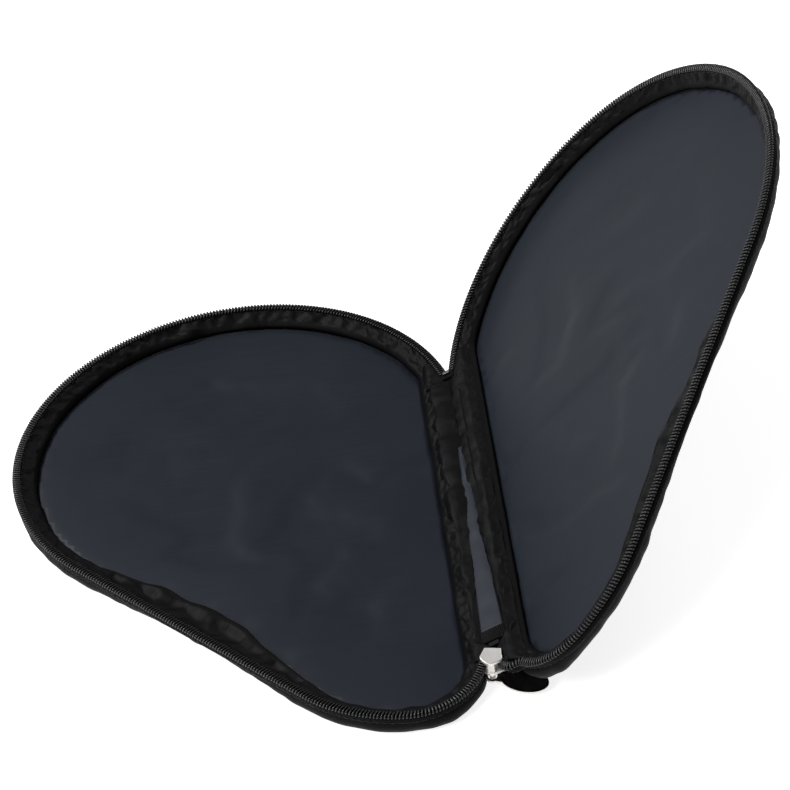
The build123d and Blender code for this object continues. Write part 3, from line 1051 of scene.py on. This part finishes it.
def make_stitching(shell):
    """Sewn rows: tape to wall outside, tape to satin inside, and round the outer panel."""
    ring = leaned(loop(5.2, 5.0, 9.2, 80), shell, PANEL_Z)
    crown = PANEL_LIFT[shell] * (1 - exp(-((1.9 / PANEL_FADE) ** 1.3)))
    ring = np.column_stack((ring, np.full(len(ring), 0.5 - crown)))
    down = np.tile((0.0, 0.0, -1.0), (len(ring), 1))
    settle(lay_stitches(f"{shell}_panel_stitches", ring, down), shell)
    outside, inside = strip_rows(shell_path(shell), ((-0.35, 8.6), (2.9, 11.35)), 2, step=1.0)
    _, outward, upward = frames_of(outside)
    settle(lay_stitches(f"{shell}_tape_stitches", outside, outward), shell)
    settle(lay_stitches(f"{shell}_satin_stitches", inside, upward), shell)


for shell, seed in (("base", 100), ("lid", 200)):
    make_panel(shell, seed + 1)
    make_wall(shell, seed + 2)
    make_lining(shell, seed + 3)
    make_band(shell, seed + 5)
    make_hinge(shell, seed + 6)
    make_blade_corner(shell, seed + 7)
    make_tape(shell)
    make_coil(shell)
    make_cord(shell)
    make_stitching(shell)

# -------- spine


def strip_sheet(name, x, section, material, thickness, node=None):
    """Sheet that rides on the spine strip. section(k) holds (reach, lift) pairs at x[k], counted
    across the strip from its middle line and out of its inner face."""
    rows = np.array([[(station, *shell_frame("base", -reach, lift)[1:])
                      for reach, lift in section(k)] for k, station in enumerate(x)])
    piece = grid_piece(name, rows.swapaxes(0, 1), material, closed=False)
    thicken(piece, thickness, levels=1)
    if node:
        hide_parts(node)
    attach(piece, "spine")


def make_strip():
    """Grey lining strip, slack between its edges."""
    low, high = box_mm("spine_lining")
    x = np.arange(low.x, high.x + 1.0, STEP)
    slack = ripple(len(x), 16.0, 301) * 0.14 + ripple(len(x), 45.0, 302) * 0.16

    def section(k):
        half = 1.0 + 4.1 * (x[k] - low.x) / (high.x - low.x)
        return [(half * t, 0.1 + (0.3 + slack[k]) * (1 - t * t)) for t in np.linspace(-1, 1, 9)]

    strip_sheet("spine_strip_cloth", x, section, strip_cloth, 0.4, "spine_lining")


def make_back():
    """Nylon on the outside of the spine, puckered along its middle."""
    x = np.linspace(SPINE_START - 4, SPINE_END + 4, 90)
    pucker = ripple(len(x), 12.0, 303) * 0.12

    def section(k):
        return [((SPINE_HALF - 0.6) * t, -0.75 - (0.35 + pucker[k]) * (1 - t**4))
                for t in np.linspace(-1, 1, 11)]

    strip_sheet("spine_back_cloth", x, section, nylon, 0.7, "spine_outer")


def make_tab():
    """Webbing tab with hemmed ends and ribs along the spine."""
    low, high = box_mm("spine_tab")
    x = np.linspace(low.x, high.x, 15)

    def section(k):
        hem = 1 - abs(2 * (x[k] - low.x) / (high.x - low.x) - 1) ** 6
        return [(SPINE_HALF * t, 0.5 + 0.65 * hem * (1 - t**8)
                 + 0.14 * sin(2 * pi * SPINE_HALF * t / RIB_PITCH))
                for t in np.linspace(-1, 1, 97)]

    strip_sheet("spine_tab_webbing", x, section, webbing, 0.5, "spine_tab")


def make_tail():
    """Webbing that carries the strip on, under the tab and up to the slider."""
    crown = ((-5.0, -1.2), (-3.0, -0.75), (0.0, -0.7), (3.0, -0.75), (5.0, -1.1))
    strip_sheet("spine_tail", np.linspace(TAB_END - 8, SLIDER_START + 1.0, 10),
                lambda k: between(crown, 9), tape_cloth, 0.6)


def make_tape_fold():
    """Tape end that doubles back on itself: down one face, round the fold, up the other."""
    low, high = box_mm("tape_end")
    turns = np.linspace(0, 1, 15)
    x = low.x + (high.x - low.x) * np.abs(2 * turns - 1) ** 1.3
    layer = 0.3 * np.tanh((turns - 0.5) * 6)

    def section(k):
        return [(2.9 * t, layer[k] + 0.1 * (1 - t * t)) for t in np.linspace(-1, 1, 7)]

    strip_sheet("spine_tape_fold", x, section, tape_cloth, 0.3, "tape_end")


make_strip()
make_back()
make_tab()
make_tail()
make_tape_fold()

# -------- CAD pieces that stay


def puller_normal():
    """Direction that the puller's flat faces point in."""
    faces = frame["nodes"]["pull_inlay_front"].data.polygons
    return tuple(max(faces, key=lambda face: face.area).normal)


for node, material in (
    ("slider_body", slider_metal), ("pull_frame", puller_painted_shade(puller_normal())),
    ("pull_inlay_front", enamel), ("pull_inlay_back", enamel),
    ("top_stop", stop_metal), ("bottom_stop", black_lacquer),
):
    mesh = frame["nodes"][node].data
    mesh.materials.clear()
    mesh.materials.append(material)

# -------- floor, light, camera
FLOOR = 6.0             # metres from the middle to an edge
FLOOR_Z = -0.0006       # just clear of the panel

floor_mesh = bpy.data.meshes.new("floor")
corners = [(-FLOOR, -FLOOR, 0), (FLOOR, -FLOOR, 0), (FLOOR, FLOOR, 0), (-FLOOR, FLOOR, 0)]
floor_mesh.from_pydata(corners, [], [(0, 1, 2, 3)])
floor = bpy.data.objects.new("floor", floor_mesh)
floor.location.z = FLOOR_Z
bpy.context.scene.collection.objects.link(floor)
paper = Shader("floor", (0.92, 0.92, 0.92), 0.9, Emission_Color=(1, 1, 1, 1),
               Emission_Strength=0.8)
paper.tint(paper.noise(40, 3.0), 0.99, 1.01)
floor_mesh.materials.append(paper.material)


def softbox(name, place, aim, size, power):
    """Square area light at place, facing aim."""
    data = bpy.data.lights.new(name, "AREA")
    data.shape = "SQUARE"
    data.size = size
    data.energy = power
    light = bpy.data.objects.new(name, data)
    light.location = place
    light.rotation_euler = (Vector(aim) - Vector(place)).to_track_quat("-Z", "Y").to_euler()
    bpy.context.scene.collection.objects.link(light)


centre = fold * MM
softbox("key", (-0.7, -0.9, 1.3), centre, 0.5, 24)
softbox("fill", (1.0, -0.8, 1.2), centre, 0.6, 12)
softbox("back", (-1.1, 0.9, 1.0), centre, 0.5, 5)

WORLD_LIGHT = 0.16

world = bpy.data.worlds.new("studio")
world.use_nodes = True
world.node_tree.nodes["Background"].inputs[0].default_value = (1, 1, 1, 1)
# the camera sees white, and the case gets a weaker light from it
seen = world.node_tree.nodes.new("ShaderNodeLightPath")
glow = world.node_tree.nodes.new("ShaderNodeMath")
glow.operation = "MULTIPLY_ADD"
glow.inputs[1].default_value = 0.9
glow.inputs[2].default_value = WORLD_LIGHT
world.node_tree.links.new(seen.outputs["Is Camera Ray"], glow.inputs[0])
world.node_tree.links.new(glow.outputs[0], world.node_tree.nodes["Background"].inputs[1])
bpy.context.scene.world = world
bpy.context.scene.view_settings.view_transform = "Standard"

AZIMUTH = radians(90.52)
ELEVATION = radians(38.15)
ROLL = radians(-9.7)
DISTANCE = 1.569
LENS = 159.5
aim = fold * MM + Vector((-0.0795, -0.0247, 0.0))
back = Vector((sin(AZIMUTH) * cos(ELEVATION), -cos(AZIMUTH) * cos(ELEVATION), sin(ELEVATION)))
camera_data = bpy.data.cameras.new("camera")
camera_data.lens = LENS
camera_data.sensor_width = 36
camera = bpy.data.objects.new("camera", camera_data)
camera.location = aim + back * DISTANCE
turn = (-back).to_track_quat("-Z", "Y").to_matrix() @ Matrix.Rotation(ROLL, 3, "Z")
camera.rotation_euler = turn.to_euler()
bpy.context.scene.collection.objects.link(camera)
bpy.context.scene.camera = camera
